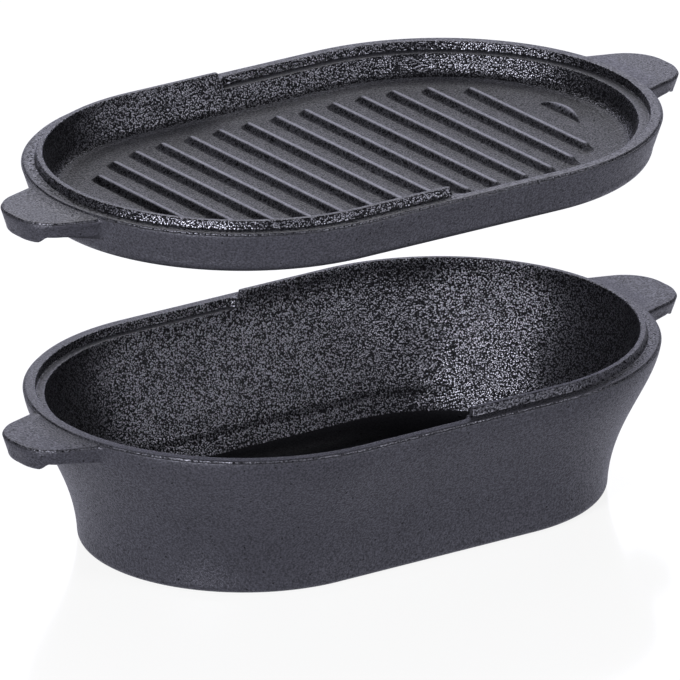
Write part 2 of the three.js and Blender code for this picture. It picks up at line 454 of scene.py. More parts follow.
# Floor of the griddle: fine grain under baked oil, satin, with pebbled flanks where it turns steep that are
# kept dark as painted shade, and a lighter colour on the crests as a painted highlight.
GRIDDLE_SKIN = IronFinish(
    name="griddle_cast_iron_seasoned",
    body="#2c2c31",
    hollow="#0c0c0f",
    roughness=0.48,
    roughness_swing=0.12,
    grain_mm=0.8,
    grain_depth_mm=0.36,
    grain_tint=0.9,
    cavity=0.8,
    steep=SHADED_FLANK_SKIN,
    painted_highlight_colour="#5c5c66",
)

# Rough riser left where the rim and the tabs were dressed: dark, pitted, with a few bright grains. It is also
# laid on the band at the lip's foot as painted shade from the lip.
EDGE_AND_SHADE_SKIN = IronFinish(
    name="as_cast_iron_edge_and_painted_shade",
    body="#242429",
    hollow="#030304",
    roughness=0.42,
    roughness_swing=0.1,
    grain_mm=1.0,
    grain_depth_mm=0.4,
    grain_tint=1.0,
    sheen=0.8,
    cavity=1.0,
)

# Floor of the pot and the lower part of its fillet: near black and smooth, with little sheen and a faint
# grain, so that it renders black.
BLACK_SKIN = IronFinish(
    name="smooth_cast_iron_oiled_black",
    body="#060607",
    hollow="#020203",
    roughness=0.5,
    roughness_swing=0.05,
    grain_mm=0.9,
    grain_depth_mm=0.1,
    grain_tint=0.5,
    sheen=0.1,
)


@dataclass(frozen=True)
class Oblong:
    """Plan that both castings share: straight sides between two round ends.

    Attributes:
        straight_half: Half the length of a straight side.
        end_steps: Steps round each end.
        fine_reach: How far from mid-length the stations are close together.
        fine_step: Distance between close stations.
        coarse_steps: Steps on the rest of a half side.
    """

    straight_half: float = 58.0
    end_steps: int = 96
    fine_reach: float = 10.0
    fine_step: float = 0.25
    coarse_steps: int = 12

    def stations(self) -> np.ndarray:
        """Place the stations round the plan, counter-clockwise from above.

        Returns:
            One row for each station: x of its point on the middle line, and its outward direction.
        """
        fine = np.arange(0, self.fine_reach, self.fine_step)
        coarse = np.linspace(self.fine_reach, self.straight_half, self.coarse_steps + 1)
        half = np.concatenate([fine, coarse])
        side = np.concatenate([-half[:0:-1], half])
        turn = np.linspace(-math.pi / 2, math.pi / 2, self.end_steps + 1)[1:-1]
        near = np.stack([side, np.zeros_like(side), -np.ones_like(side)], 1)
        end = np.stack([np.full_like(turn, self.straight_half), np.cos(turn), np.sin(turn)], 1)
        return np.concatenate([near, end, -near, -end])


# Dressed outer edge of the rim, in parts of its width: inwards, down, and the finish up to there.
RIM_EDGE = (
    (0.0, 1.0, Skin.SAND),
    (0.06, 0.84, Skin.SAND),
    (0.21, 0.76, Skin.SAND),
    (0.43, 0.72, Skin.SAND),
    (0.57, 0.57, Skin.EDGE),
    (0.66, 0.29, Skin.EDGE),
    (0.79, 0.09, Skin.EDGE),
    (1.0, 0.0, Skin.SAND),
)

# Points of the rim's locking section, as many with the lip as with the recess and between them.
FOOT_STEPS = 3
SHOULDER_STEPS = 4
CREST_POINTS = 3
BACK_STEPS = 4
WALL_SHARES = (0.25, 0.5, 0.75, 1.0)

# Strips up the outer side of the lip, and those of the band along its foot, which take the dark edge finish
# as painted shade from the lip.
SIDE_STRIPS = FOOT_STEPS + SHOULDER_STEPS + 1
LIP_SHADE_STRIPS = 3

# Points across the band, its gap to the recess in corner fillets, and the least step on to the wall below.
BAND_POINTS = 4
BAND_GAP = 1.5
JOIN_GAP = 0.5


@dataclass(frozen=True)
class LockingRim:
    """Rim that locks the two castings: a flat band, and inside it a lip on one half, a recess on the other.

    Attributes:
        radius: Outside of the rim.
        edge: Width of the dressed outer edge.
        band: Width of the flat band.
        clearance: Play between a lip and the recess that takes it.
        lip_thickness: Thickness of the lip.
        lip_height: Height of the lip over the band.
        lip_setback: Where the lip starts, from mid-length.
        recess_setback: Where the recess starts, from mid-length, less than nought across the middle.
        lip_draft: How far the lip's outer side leans in.
        lip_round: Rounding of the lip's top edges.
        corner: Fillet in the corners and rounding of the recess's edge.
        depth: How far down the section reaches under the band.
        lip_run: Distance over which the lip's end rises.
        recess_run: Distance over which the recess's end sinks.
        lip_end: Least thickness of the lip's round end, as a share.
        recess_end: Least width of the recess's round end, as a share.
        round_limit: Most of a thin lip's half that a rounding takes.
        draft_limit: Most of it that the draft takes.
        corner_limit: Most of a narrow recess that a fillet takes.
    """

    radius: float = 107.0
    edge: float = 1.4
    band: float = 6.2
    clearance: float = 0.4
    lip_thickness: float = 3.9
    lip_height: float = 4.0
    lip_setback: float = 6.0
    recess_setback: float = -4.5
    lip_draft: float = 0.6
    lip_round: float = 0.8
    corner: float = 0.5
    depth: float = 6.5
    lip_run: float = 0.8
    recess_run: float = 0.6
    lip_end: float = 0.35
    recess_end: float = 0.3
    round_limit: float = 0.6
    draft_limit: float = 0.5
    corner_limit: float = 0.25

    @property
    def lip_outer(self) -> float:
        """Radius of the lip's outer side."""
        return self.radius - self.band - self.clearance

    @property
    def inner(self) -> float:
        """Radius of the opening at the band's height."""
        return self.lip_outer - self.lip_thickness

    @property
    def recess_outer(self) -> float:
        """Radius of the recess's side."""
        return self.radius - self.band

    def outer_edge(self) -> tuple[list[Point], list[Skin]]:
        """Draw the dressed outer edge, from the wall to the band: a narrow ledge, then a rough riser.

        Returns:
            Points (radius, height from the band), and the finish of the strip that ends at each.
        """
        points = [(self.radius - self.edge * inwards, -self.edge * down) for inwards, down, _ in RIM_EDGE]
        return points, [skin for _, _, skin in RIM_EDGE]

    def skins(self) -> list[Skin]:
        """Return the finish of the strip that ends at each point of the locking section."""
        side, top = [Skin.PEBBLE] * SIDE_STRIPS, [Skin.SAND] * (CREST_POINTS + 1)
        return [Skin.SAND] + side + top + [Skin.PEBBLE] * (BACK_STEPS + len(WALL_SHARES))

    def section(self, along: float, inside: Height) -> list[Point]:
        """Draw the locking section at one station.

        Args:
            along: Distance from mid-length, positive on the half with the lip.
            inside: Radius of the inner wall by height from the band.

        Returns:
            Points (radius, height from the band), from the band inwards and down.
        """
        from_lip = along - self.lip_setback
        if from_lip > 0:
            share = smooth_step(0, self.lip_run, from_lip)
            return blend(self._plain(inside), self._lip(from_lip, inside), share)
        from_recess = -along - self.recess_setback
        if from_recess > 0:
            share = smooth_step(0, self.recess_run, from_recess)
            return blend(self._plain(inside), self._recess(from_recess, inside), share)
        return self._plain(inside)

    def _wall(self, top: float, inside: Height) -> list[Point]:
        """Return the last points of a section, down the inner wall from a height."""
        heights = [top + (-self.depth - top) * share for share in WALL_SHARES]
        return [(inside(z), z) for z in heights]

    def _plain(self, inside: Height) -> list[Point]:
        """Draw the section between the lip and the recess, where the band runs in to the wall.

        Args:
            inside: Radius of the inner wall by height from the band.

        Returns:
            Points in the order of section().
        """
        e = self.lip_round
        count = SIDE_STRIPS + 1 + CREST_POINTS
        flat = between((self.recess_outer + self.corner, 0), (self.inner + e, 0), count)
        return flat + arc((self.inner + e, -e), e, 90, 180, BACK_STEPS) + self._wall(-e, inside)

    def _lip(self, from_end: float, inside: Height) -> list[Point]:
        """Draw the section with the lip, which is round in plan at its end.

        Args:
            from_end: Distance from the lip's end.
            inside: Radius of the inner wall by height from the band.

        Returns:
            Points in the order of section().
        """
        half = self.lip_thickness / 2
        middle = self.inner + half
        cut = max(0.0, half - from_end)
        thick = max(self.lip_end * half, math.sqrt(half**2 - cut**2))
        outer, inner = middle + thick, middle - thick
        e = min(self.lip_round, self.round_limit * thick)
        top = self.lip_height
        foot = arc((outer + self.corner, self.corner), self.corner, 270, 180, FOOT_STEPS)
        crown = outer - min(self.lip_draft, self.draft_limit * thick)
        shoulder = arc((crown - e, top - e), e, 0, 90, SHOULDER_STEPS)
        crest = between((crown - e, top), (inner + e, top), CREST_POINTS)
        back = arc((inner + e, top - e), e, 90, 180, BACK_STEPS)
        return foot + shoulder + crest + back + self._wall(top - e, inside)

    def _recess(self, from_end: float, inside: Height) -> list[Point]:
        """Draw the section with the recess, which is round in plan at its end.

        Args:
            from_end: Distance from the recess's end.
            inside: Radius of the inner wall by height from the band.

        Returns:
            Points in the order of section().
        """
        depth = self.lip_height + self.clearance
        ledge_inner = inside(-depth)
        cap = self.recess_outer - ledge_inner
        cut = max(0.0, cap - from_end)
        width = max(self.recess_end * cap, math.sqrt(cap**2 - cut**2))
        outer = ledge_inner + width
        c = min(self.corner, self.corner_limit * width)
        lip = arc((outer + c, -c), c, 90, 180, FOOT_STEPS)
        foot = arc((outer - c, -depth + c), c, 0, -90, SHOULDER_STEPS)
        ledge = between((outer - c, -depth), (ledge_inner + c, -depth), CREST_POINTS)
        drop = arc((ledge_inner + c, -depth - c), c, 90, 180, BACK_STEPS)
        return lip + foot + ledge + drop + self._wall(-depth - c, inside)


# Steps round a tab's outline: each neck fillet, each outer corner, and the root inside the wall.
NECK_STEPS = 8
CORNER_STEPS = 20
ROOT_STEPS = 16

# Rings of a tab, from the middle line of its top round to that of its underside. A ring lies at an inset
# from the outline, and some are drawn in to a share of the tab's width.
TOP_SHARES = (0.0, 0.4, 0.75)
TOP_INSETS = (5.0, 2.5)
SIDE_SHARES = (0.3, 0.6)
UNDER_STEPS = 5
UNDER_INSETS = (1.2, 2.6)
UNDER_SHARES = (0.85, 0.7, 0.5, 0.3, 0.0)

# Rings of a tab's top edge in parts of its rounding: inset, and fall under the top. The first ones are rough.
EDGE_RINGS = ((1.0, 0.0), (0.75, 0.15), (0.6, 0.5), (0.5, 0.9), (0.15, 1.05), (0.0, 1.3))
EDGE_FALL = EDGE_RINGS[-1][1]
ROUGH_FALL = 0.9

# Where a tab's bead swells, from its inner edge, and the height over which the wall's lean is taken.
BEAD_SWELL = (-2.0, 1.5)
LEAN_HEIGHT = 4.0


@dataclass(frozen=True)
class TabHandle:
    """Tab cast on each end of a casting, a rounded ear with a bead under its outer edge.

    Attributes:
        reach: How far the tab stands out from the rim.
        half_width: Half its width.
        corner: Radius of its outer corners in plan.
        taper_deg: How far its sides lean towards each other in plan.
        neck: Radius of the fillets where it runs into the rim.
        thickness: Thickness of the plate.
        drop: How far its top lies under the rim's band.
        edge: Rounding of the top edge.
        under_edge: Rounding of the bottom edge.
        draft: How far the side leans in from top to bottom.
        bead_width: Width of the bead at the tip.
        bead_depth: Depth of the bead under the plate.
        cove: Fillet between the underside and the wall.
        crease: Fillet between the top and the rim.
        root: How far the tab reaches into the wall.
    """

    reach: float = 27.0
    half_width: float = 25.0
    corner: float = 22.0
    taper_deg: float = 18.0
    neck: float = 5.0
    thickness: float = 8.6
    drop: float = 1.5
    edge: float = 0.9
    under_edge: float = 2.2
    draft: float = 2.6
    bead_width: float = 7.5
    bead_depth: float = 3.0
    cove: float = 5.0
    crease: float = 0.7
    root: float = 3.5

    def neck_centre(self, rim_radius: float, wall_radius: float) -> Point:
        """Place the fillet between the side and the wall.

        Args:
            rim_radius: Outside of the rim.
            wall_radius: Outside of the wall at the height in question.

        Returns:
            Centre of the fillet, from the middle of the casting's round end.
        """
        lean = math.radians(self.taper_deg)
        out = self.corner + self.neck
        start = Vector((rim_radius + self.reach - self.corner, self.half_width - self.corner))
        start += out * Vector((math.sin(lean), math.cos(lean)))
        inwards = Vector((-math.cos(lean), math.sin(lean)))
        along = start.dot(inwards)
        gap = (wall_radius + self.neck) ** 2 - start.length_squared
        centre = start + inwards * (-along - math.sqrt(along**2 + gap))
        return centre.x, centre.y

    def outline(
        self, straight_half: float, rim_radius: float, wall_radius: float
    ) -> tuple[np.ndarray, np.ndarray]:
        """Draw the plan of the tab at the +X end, counter-clockwise, down to the wall at one height.

        Args:
            straight_half: Where the centre of the casting's end lies along X.
            rim_radius: Outside of the rim.
            wall_radius: Outside of the wall at the height in question.

        Returns:
            The outline's points, and the way outwards at each of them, zero inside the wall.
        """
        across, neck_y = self.neck_centre(rim_radius, wall_radius)
        neck_deg = math.degrees(math.atan2(neck_y, across))
        neck_x = straight_half + across
        side_deg = 90 - self.taper_deg
        corner_x = straight_half + rim_radius + self.reach - self.corner
        corner_y = self.half_width - self.corner
        points: list[Point] = []
        normals: list[Point] = []
        for centre, radius, first, last, steps in (
            ((neck_x, -neck_y), -self.neck, 180 - neck_deg, 180 - side_deg, NECK_STEPS),
            ((corner_x, -corner_y), self.corner, -side_deg, 0, CORNER_STEPS),
            ((corner_x, corner_y), self.corner, 0, side_deg, CORNER_STEPS),
            ((neck_x, neck_y), -self.neck, 180 + side_deg, 180 + neck_deg, NECK_STEPS),
        ):
            run = arc(centre, abs(radius), first, last, steps)
            points += run
            normals += [((x - centre[0]) / radius, (y - centre[1]) / radius) for x, y in run]
        inside = arc((straight_half, 0), wall_radius - self.root, neck_deg, -neck_deg, ROOT_STEPS)
        points += inside
        normals += [(0.0, 0.0)] * len(inside)
        return np.array(points), np.array(normals)


@dataclass
class Casting:
    """One oblong casting: a shell with a locking rim and two tabs.

    Attributes:
        name: Name of the finished piece.
        body: Body of the frame that it rides on.
        node: CAD node that it stands for.
        slot: Material slot of the record.
        height: Height of the rim's band over the casting's flat face.
        base_z: Height of that face in the frame.
        lip_half: Half that carries the lip.
        lip_skin: Finish of the lip's outer side.
        foot_round: Rounding of the flat face's edge.
        round_steps: Steps round it.
        face_rings: Insets of the flat face's rings from its rounding.
        bottom: Thickness of the floor.
        fillet: Fillet between the inner wall and the floor.
        fillet_steps: Steps round it.
        floor_rings: Insets of the floor's rings from its fillet.
        floor_skin: Finish of the floor.
        pebbled: Strips of the fillet that are pebbled.
        plan: The plan that it follows.
        rim: Its rim.
        tab: Its tabs.
    """

    name: str
    body: str
    node: str
    slot: str
    height: float
    base_z: float
    lip_half: LipHalf
    lip_skin: Skin
    foot_round: float
    round_steps: int
    face_rings: Point
    bottom: float
    fillet: float
    fillet_steps: int
    floor_rings: Point
    floor_skin: Skin
    pebbled: int
    plan: Oblong = field(default_factory=Oblong)
    rim: LockingRim = field(default_factory=LockingRim)
    tab: TabHandle = field(default_factory=TabHandle)

    def outer_wall(self) -> list[Point]:
        """Return the profile from the flat face, round the foot and up to the rim's outer edge."""
        raise NotImplementedError

    def inner_wall(self) -> list[Point]:
        """Return the profile of the inner wall from the rim's band down to its foot."""
        raise NotImplementedError

    def face_edge(self, foot: float) -> list[Point]:
        """Draw the flat face and its rounding.

        Args:
            foot: Radius of the wall at its foot.

        Returns:
            Profile from inside the flat face to the wall's foot.
        """
        start = foot - self.foot_round
        face = [(start - inset, 0.0) for inset in self.face_rings]
        return face + arc((start, self.foot_round), self.foot_round, -90, 0, self.round_steps)

    def floor(self) -> list[Point]:
        """Draw the floor and its fillet.

        Returns:
            Profile from past the foot of the inner wall, round the fillet and in over the floor.
        """
        foot, level = self.inner_wall()[-1]
        start = foot - self.fillet
        turn = arc((start, level), self.fillet, 0, -90, self.fillet_steps)
        return turn[1:] + [(start - inset, self.bottom) for inset in self.floor_rings]

    def floor_skins(self) -> list[Skin]:
        """Return the finish of the strip that ends at each point of the floor's profile."""
        return [Skin.PEBBLE] * self.pebbled + [self.floor_skin] * (len(self.floor()) - self.pebbled)

    def inside_at(self, height: float) -> float:
        """Return the radius of the inner wall at a height over the flat face."""
        return radius_at(self.inner_wall(), height)

    def outside_at(self, height: float) -> float:
        """Return the radius of the outer wall at a height over the flat face."""
        return radius_at(self.outer_wall(), height)

    def build_shell(self) -> bpy.types.Object:
        """Sweep the section round the plan and close it at the base and the floor.

        Returns:
            The shell without its tabs.
        """
        rim = self.rim
        outside = self.outer_wall()
        edge_points, edge_skins = rim.outer_edge()
        edge = [(r, self.height + z) for r, z in edge_points]
        band_start = (rim.radius - rim.edge, self.height)
        band_end = (rim.recess_outer + BAND_GAP * rim.corner, self.height)
        fixed = outside + edge + between(band_start, band_end, BAND_POINTS)
        low = self.height - rim.depth - JOIN_GAP
        inner = [p for p in self.inner_wall() if p[1] < low]
        bottom = self.floor()
        strips = [Skin.SAND] * (len(outside) - 1) + edge_skins + [Skin.SAND] * BAND_POINTS
        foot = len(strips) + 1
        strips += rim.skins() + [Skin.PEBBLE] * len(inner) + self.floor_skins()
        lip_strips = list(strips)
        # Along the lip's foot the band takes the dark edge finish, a painted shade from the lip.
        lip_strips[foot - LIP_SHADE_STRIPS : foot] = [Skin.EDGE] * LIP_SHADE_STRIPS
        lip_strips[foot : foot + SIDE_STRIPS] = [self.lip_skin] * SIDE_STRIPS
        rings: list[list[Point]] = []
        stations = self.plan.stations()

        def inside(from_band: float) -> float:
            """Return the inner wall's radius by height from the band."""
            return self.inside_at(self.height + min(0.0, from_band))

        for x, _, _ in stations:
            lock = rim.section(x * self.lip_half.value, inside)
            rings.append(fixed + [(r, self.height + z) for r, z in lock] + inner + bottom)
        sections = np.array(rings)
        count, length = sections.shape[:2]
        radius = sections[:, :, 0]
        points = np.empty((count, length, 3))
        points[:, :, 0] = stations[:, 0:1] + radius * stations[:, 1:2]
        points[:, :, 1] = radius * stations[:, 2:3]
        points[:, :, 2] = sections[:, :, 1] + self.base_z
        faces: list[tuple[int, ...]] = []
        skins: list[int] = []
        for i in range(count):
            after = (i + 1) % count
            has_lip = stations[i, 0] * self.lip_half.value > rim.lip_setback
            for k in range(length - 1):
                faces.append((i * length + k, after * length + k, after * length + k + 1, i * length + k + 1))
                skins.append(int(lip_strips[k] if has_lip else strips[k]))
        faces.append(tuple(i * length for i in reversed(range(count))))
        skins.append(int(Skin.SAND))
        faces.append(tuple(i * length + length - 1 for i in range(count)))
        skins.append(int(strips[-1]))
        return new_object(self.name, points.reshape(-1, 3), faces, skins)

    def build_tab(self, end: int) -> bpy.types.Object:
        """Make the tab at one end as a closed solid that reaches into the wall.

        Args:
            end: 1 for the +X end and -1 for the other.

        Returns:
            The tab.
        """
        tab = self.tab
        top = self.height - tab.drop
        low = top - tab.thickness
        rows: list[np.ndarray] = []
        skins: list[Skin] = []

        def ring(inset: float, level: Level, share: float = 1.0, skin: Skin = Skin.SAND) -> None:
            """Add one ring of points.

            Args:
                inset: Distance from the outline.
                level: Height by place in plan.
                share: Share of the tab's width that the ring is drawn in to.
                skin: Finish of the strip that starts there.
            """
            root_z = level(self.plan.straight_half + self.rim.radius, 0.0)
            wall = self.outside_at(root_z)
            outline, normals = tab.outline(self.plan.straight_half, self.rim.radius, wall)
            plan = (outline - inset * normals) * np.array([1.0, share])
            least = self.plan.straight_half + np.sqrt((wall - tab.root) ** 2 - plan[:, 1] ** 2)
            inside = ~normals.any(axis=1)
            plan[:, 0] = np.where(inside, least, np.maximum(plan[:, 0], least))
            rows.append(np.array([(x, y, level(x, y)) for x, y in plan]))
            skins.append(skin)

        def upper(x: float, y: float) -> float:
            """Shape the top, with a crease at the rim.

            Args:
                x: Place along the length.
                y: Place across it.

            Returns:
                Height over the flat face.
            """
            past = math.hypot(x - self.plan.straight_half, y) - self.rim.radius
            near = min(tab.crease, max(0.0, tab.crease - past))
            return top + tab.crease - math.sqrt(tab.crease**2 - near**2)

        cove_out, cove_in = self._cove(low)

        def lower(x: float, y: float) -> float:
            """Shape the underside, with the cove at the wall and the bead at the tip.

            Args:
                x: Place along the length.
                y: Place across it.

            Returns:
                Height over the flat face.
            """
            radius = max(cove_in, math.hypot(x - self.plan.straight_half, y))
            near = max(0.0, cove_out - radius)
            tip = self.plan.straight_half + self.rim.radius + tab.reach
            swell = [tip - tab.bead_width + past for past in BEAD_SWELL]
            bead = tab.bead_depth * smooth_step(*swell, x)
            return low - bead - tab.cove + math.sqrt(max(0.0, tab.cove**2 - near**2))

        def side(x: float, y: float, share: float) -> float:
            """Return the height of the side, a share of the way down from the rough edge."""
            start = upper(x, y) - EDGE_FALL * tab.edge
            return start + share * (lower(x, y) + tab.under_edge - start)

        for share in TOP_SHARES:
            ring(TOP_INSETS[0], upper, share)
        for inset in TOP_INSETS:
            ring(inset, upper)
        for inset, fall in EDGE_RINGS:
            skin = Skin.EDGE if fall < ROUGH_FALL else Skin.SAND
            ring(tab.edge * inset, lambda x, y, f=tab.edge * fall: upper(x, y) - f, skin=skin)
        for share in SIDE_SHARES:
            ring(tab.draft * share, partial(side, share=share))
        for turn in np.radians(np.linspace(0, 90, UNDER_STEPS + 1)):
            rise = tab.under_edge * (1 - math.sin(turn))
            inset = tab.draft + tab.under_edge * (1 - math.cos(turn))
            ring(inset, lambda x, y, r=rise: lower(x, y) + r)
        for inset in UNDER_INSETS:
            ring(tab.draft + tab.under_edge + inset, lower)
        for share in UNDER_SHARES:
            ring(tab.draft + tab.under_edge + UNDER_INSETS[-1], lower, share)

        count = len(rows[0])
        points = np.concatenate(rows)
        points[:, 2] += self.base_z
        points[:, :2] *= end
        faces: list[tuple[int, ...]] = []
        face_skins: list[int] = []
        for k in range(len(rows) - 1):
            for i in range(count):
                after = (i + 1) % count
                faces.append((k * count + i, (k + 1) * count + i, (k + 1) * count + after, k * count + after))
                face_skins.append(int(skins[k]))
        return new_object(f"{self.name}_tab", points, faces, face_skins, merge=True)

    def _cove(self, low: float) -> tuple[float, float]:
        """Place the fillet between a tab's underside and the wall.

        Args:
            low: Height of the underside.

        Returns:
            Radii at which it leaves the underside and meets the wall.
        """
        wall = self.outside_at(low)
        lean = math.atan2(wall - self.outside_at(low - LEAN_HEIGHT), LEAN_HEIGHT)
        run = self.tab.cove * math.tan((math.pi / 2 - lean) / 2)
        return wall + run, wall - run * math.sin(lean)

    def build(self, skins: Sequence[bpy.types.Material]) -> bpy.types.Object:
        """Make the whole casting, dress it and set it on its body.

        Args:
            skins: Materials in the order of Skin.

        Returns:
            The finished piece.
        """
        shell = self.build_shell()
        tabs = [self.build_tab(1), self.build_tab(-1)]
        for solid in (shell, *tabs):
            for skin in skins:
                solid.data.materials.append(skin)
        join(shell, tabs)
        seat(shell, self.body, self.slot, self.node)
        return shell


@dataclass
class CasserolePot(Casting):
    """The pot: a flat base, a wall that flares to the rim, and a bowl-shaped inside.

    Attributes:
        flare: How far the rim stands out past the foot.
        wall: Thickness of the wall at the foot.
        low_pull: Lower pull of both walls' curves, in parts of the flare and the height.
        high_pull: Upper pull of the outer curve, in from the rim and up, in the same parts.
        bowl_pull: Height of the upper pull of the inner curve, in parts of the height.
        wall_steps: Steps up a wall.
    """

    foot_round: float = 4.0
    round_steps: int = 7
    face_rings: Point = (12.0, 2.0)
    bottom: float = 5.0
    fillet: float = 17.0
    fillet_steps: int = 14
    floor_rings: Point = (3.0, 14.0)
    floor_skin: Skin = Skin.BLACK
    pebbled: int = 6
    flare: float = 25.8
    wall: float = 6.0
    low_pull: Point = (0.08, 0.48)
    high_pull: Point = (0.1, 0.75)
    bowl_pull: float = 0.67
    wall_steps: int = 36

    @property
    def foot(self) -> float:
        """Radius of the foot."""
        return self.rim.radius - self.flare

    def outer_wall(self) -> list[Point]:
        """Draw the outside.

        Returns:
            Profile from the base, round the foot and up the flared wall.
        """
        wall = bezier(
            (self.foot, self.foot_round),
            (self.foot + self.low_pull[0] * self.flare, self.low_pull[1] * self.height),
            (self.rim.radius - self.high_pull[0] * self.flare, self.high_pull[1] * self.height),
            (self.rim.radius, self.height - self.rim.edge),
            self.wall_steps,
        )
        return self.face_edge(self.foot) + wall[1:-1]

    def inner_wall(self) -> list[Point]:
        """Draw the bowl.

        Returns:
            Profile from the rim down to the fillet.
        """
        foot = self.foot - self.wall
        return bezier(
            (self.rim.inner, self.height),
            (self.rim.inner, self.bowl_pull * self.height),
            (foot + self.low_pull[0] * self.flare, self.low_pull[1] * self.height),
            (foot, self.bottom + self.fillet),
            self.wall_steps,
        )


@dataclass
class GriddleLid(Casting):
    """The lid, ribs up: a flat outer face, a low drafted wall, and a floor for the ribs.

    Attributes:
        draft: How far the wall leans out.
        inner_draft: How far the inner wall leans.
        wall_points: Points up the outer wall.
        inner_points: Points down the inner wall, between its ends.
    """

    foot_round: float = 6.5
    round_steps: int = 10
    face_rings: Point = (14.0, 3.0)
    bottom: float = 6.3
    fillet: float = 7.0
    fillet_steps: int = 12
    floor_rings: Point = (2.0, 10.0)
    floor_skin: Skin = Skin.GRIDDLE
    pebbled: int = 8
    draft: float = 4.6
    inner_draft: float = 3.0
    wall_points: int = 8
    inner_points: int = 5

    def outer_wall(self) -> list[Point]:
        """Draw the outside.

        Returns:
            Profile from the flat face, round its edge and up the drafted wall.
        """
        foot = self.rim.radius - self.draft
        top = (self.rim.radius, self.height - self.rim.edge)
        return self.face_edge(foot) + between((foot, self.foot_round), top, self.wall_points)

    def inner_wall(self) -> list[Point]:
        """Draw the tray's wall.

        Returns:
            Profile from the rim down to the fillet.
        """
        foot = (self.rim.inner - self.inner_draft, self.bottom + self.fillet)
        top = (self.rim.inner, self.height)
        return [top] + between(top, foot, self.inner_points) + [foot]


# Sockets of a node tree by the kind of value that they take.
SOCKET_KINDS = {
    int: "NodeSocketInt",
    float: "NodeSocketFloat",
    bpy.types.Object: "NodeSocketObject",
    bpy.types.Material: "NodeSocketMaterial",
}


